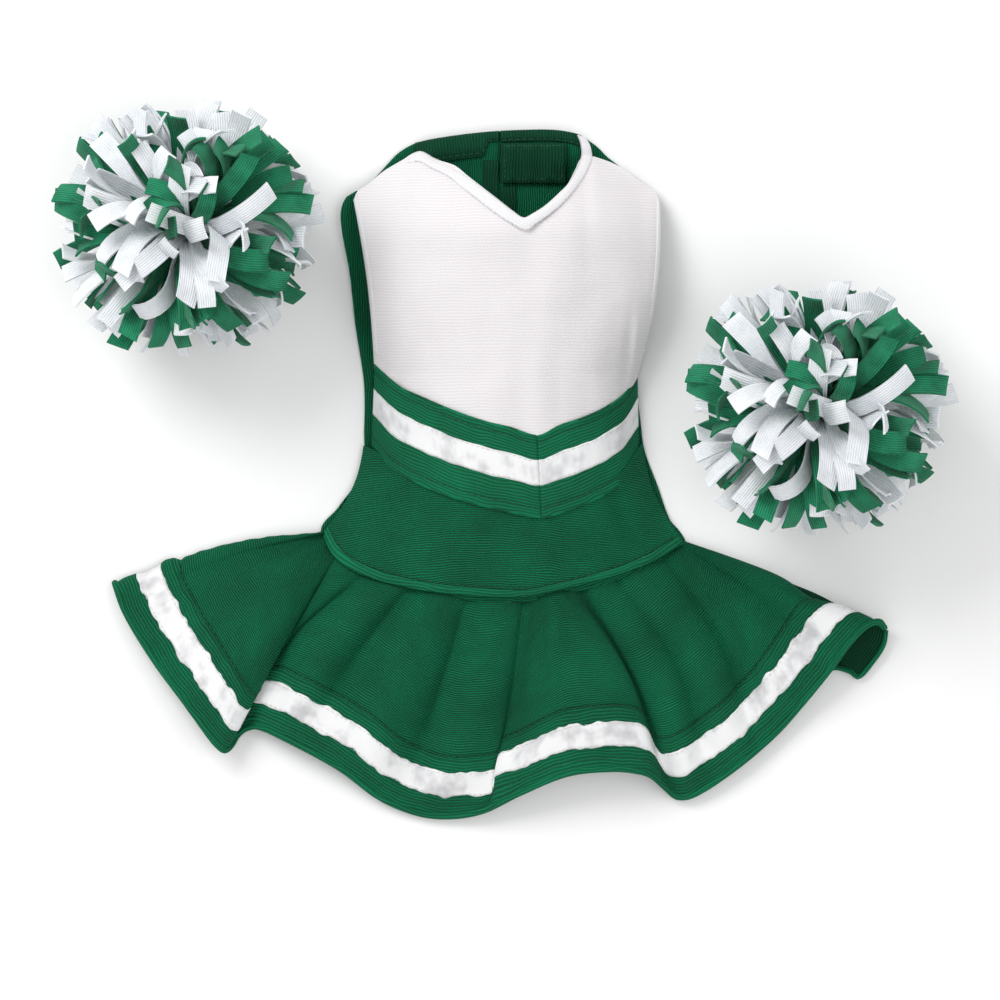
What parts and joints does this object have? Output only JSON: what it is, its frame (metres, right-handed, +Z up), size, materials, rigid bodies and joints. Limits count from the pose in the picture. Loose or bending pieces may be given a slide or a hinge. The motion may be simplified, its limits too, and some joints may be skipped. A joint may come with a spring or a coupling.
{
  "type": "cheer uniform",
  "caption": "Sleeveless doll-size cheer dress with a V-neck front, satin-trimmed V waistband and flared pleated skirt, laid flat with a pair of two-tone strip pompoms.",
  "frame": {"origin": "underside of the back of the dress, on the surface that it lies on, at the height of the waistband's V", "axes": "+X to the right of the laid-out set, +Y from the skirt towards the neck, +Z up from the surface, out of the front of the dress"},
  "size_m": [0.3369, 0.276, 0.09],
  "materials": {
    "green_knit": "ribbed tricot knit, soft sheen",
    "white_knit": "fine tricot knit, matte",
    "white_satin": "satin ribbon, glossy",
    "green_fleece": "brushed knit strips",
    "white_fleece": "brushed knit strips",
    "hook_and_loop": "hook-and-loop tape",
    "elastic": "woven elastic"
  },
  "bodies": {
    "dress": {"front_panel": "white_knit", "neck_binding": "white_knit", "armhole_binding_left": "white_knit", "armhole_binding_right": "white_knit", "waistband_left": "green_knit", "waistband_right": "green_knit", "waist_ribbon_left": "white_satin", "waist_ribbon_right": "white_satin", "yoke_front": "green_knit", "yoke_edge_roll": "green_knit", "back_panel_left": "green_knit", "back_panel_right": "green_knit", "back_neck_band_left": "green_knit", "back_neck_band_right": "green_knit", "back_placket_left": "green_knit", "back_placket_right": "green_knit", "closure_loop_patch": "hook_and_loop"},
    "closure": {"closure_tab": "green_knit", "closure_hook_patch": "hook_and_loop"},
    "skirt": {"skirt_front": "green_knit", "skirt_back": "green_knit", "hem_ribbon_front": "white_satin", "hem_ribbon_back": "white_satin", "hem_edge_front": "green_knit", "hem_edge_back": "green_knit"},
    "pompom_left": {"pompom_left_green_strips": "green_fleece", "pompom_left_white_strips": "white_fleece", "pompom_left_tie": "elastic", "pompom_left_paw_loop": "elastic"},
    "pompom_right": {"pompom_right_green_strips": "green_fleece", "pompom_right_white_strips": "white_fleece", "pompom_right_tie": "elastic", "pompom_right_paw_loop": "elastic"}
  },
  "joints": [
    {"name": "skirt_fold", "type": "hinge", "parent": "dress", "child": "skirt", "pos_m": [0, -0.0375, 0.012], "axis": [-1, 0, 0], "range_deg": [0, 75]},
    {"name": "closure_tab_open", "type": "hinge", "parent": "dress", "child": "closure", "pos_m": [-0.002, 0.10325, 0.0032], "axis": [0, -1, 0], "range_deg": [0, 80]},
    {"name": "pompom_left_lift", "type": "slide", "parent": "dress", "child": "pompom_left", "axis": [0, 0, 1], "range_m": [0, 0.1]},
    {"name": "pompom_right_lift", "type": "slide", "parent": "dress", "child": "pompom_right", "axis": [0, 0, 1], "range_m": [0, 0.1]}
  ]
}
